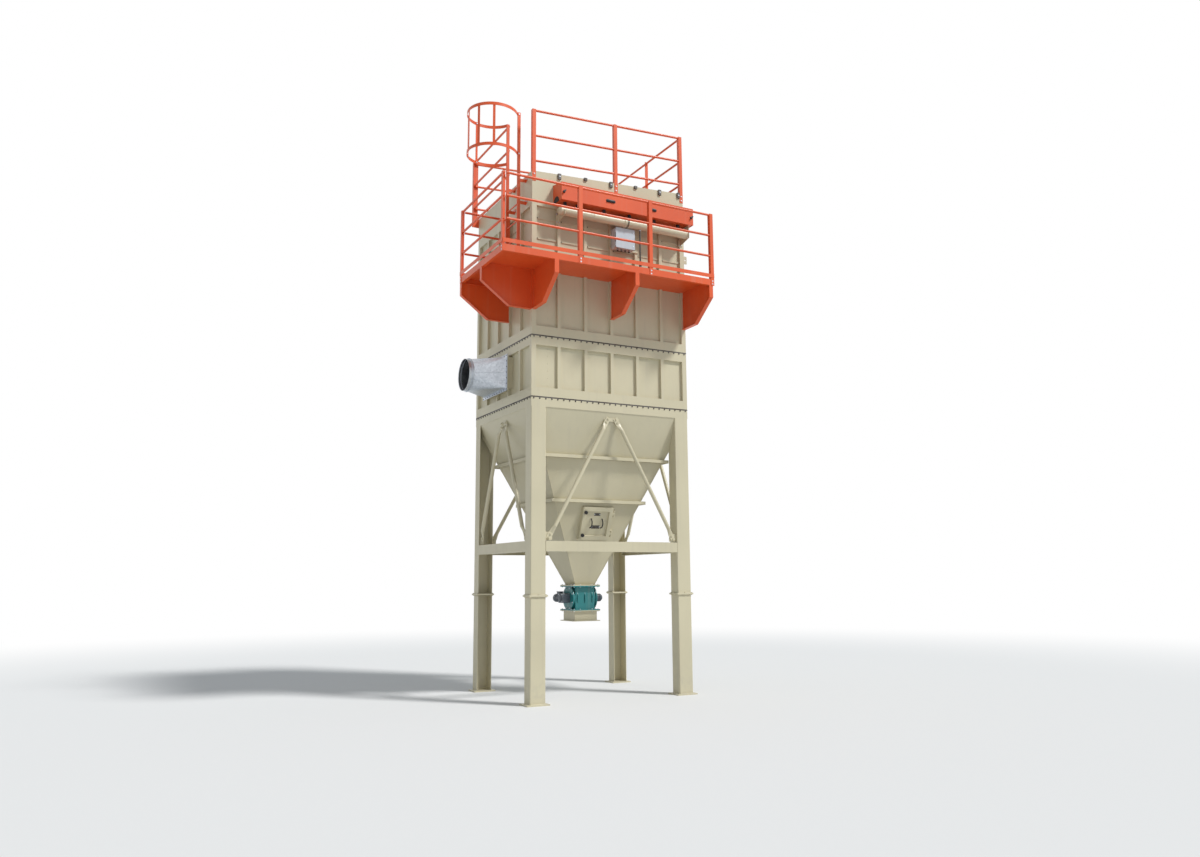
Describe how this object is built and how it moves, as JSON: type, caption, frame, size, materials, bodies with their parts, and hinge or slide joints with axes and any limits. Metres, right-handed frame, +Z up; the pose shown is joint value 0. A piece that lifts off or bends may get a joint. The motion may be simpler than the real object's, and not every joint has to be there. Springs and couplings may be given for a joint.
{
  "type": "pulse jet bag filter",
  "caption": "Pulse jet bag filter: ribbed steel casing on a braced leg frame, with hopper, rotary valve, round inlet, service platform, caged ladder and railed roof.",
  "frame": {"origin": "on the floor, at the centre of the rectangle of the four outer anchor bolts", "axes": "+X along the front from left to right, +Y from front to rear, +Z up"},
  "size_m": [3.7509, 3.286, 9.295],
  "materials": {
    "cream_paint": "semi-gloss",
    "orange_paint": "semi-gloss",
    "galvanised_sheet": "bright",
    "teal_paint": "semi-gloss",
    "dark_motor_paint": "satin",
    "cast_valve": "cast",
    "grey_enamel": "satin",
    "dark_steel": "satin",
    "black_plastic": "matt"
  },
  "bodies": {
    "structure": {"air_outlet": "cream_paint", "braces_front": "cream_paint", "braces_left": "cream_paint", "braces_rear": "cream_paint", "braces_right": "cream_paint", "cage_straps": "orange_paint", "control_box": "grey_enamel", "door_frame": "cream_paint", "header_brackets": "cream_paint", "header_tank": "cream_paint", "hopper": "cream_paint", "hopper_ribs": "cream_paint", "inlet_port": "cream_paint", "inlet_transition": "galvanised_sheet", "ladder": "orange_paint", "ladder_cage": "orange_paint", "leg_front_left": "cream_paint", "leg_front_right": "cream_paint", "leg_rear_left": "cream_paint", "leg_rear_right": "cream_paint", "lower_casing": "cream_paint", "outlet_spool": "cream_paint", "platform_brackets": "orange_paint", "platform_front": "orange_paint", "platform_left": "orange_paint", "plenum": "cream_paint", "pulse_valves": "cast_valve", "railing_front": "orange_paint", "railing_left": "orange_paint", "railing_rear_end": "orange_paint", "ring_beam": "cream_paint", "roof": "cream_paint", "roof_clamps": "dark_steel", "roof_railing_front": "orange_paint", "roof_railing_left": "orange_paint", "roof_railing_rear": "orange_paint", "roof_railing_right": "orange_paint", "rotary_valve": "teal_paint", "tank_drain": "dark_steel", "tie_beams": "cream_paint", "toe_boards": "orange_paint", "upper_casing": "cream_paint", "valve_bearing": "dark_motor_paint", "valve_cover": "orange_paint", "valve_motor": "dark_motor_paint"},
    "door": {"hopper_door": "cream_paint", "door_handles": "black_plastic"}
  },
  "joints": [
    {"name": "door_hinge", "type": "hinge", "parent": "structure", "child": "door", "pos_m": [0.2985, -0.56623, 2.67063], "axis": [0, -0.3421, 0.9397], "range_deg": [0, 100]}
  ]
}
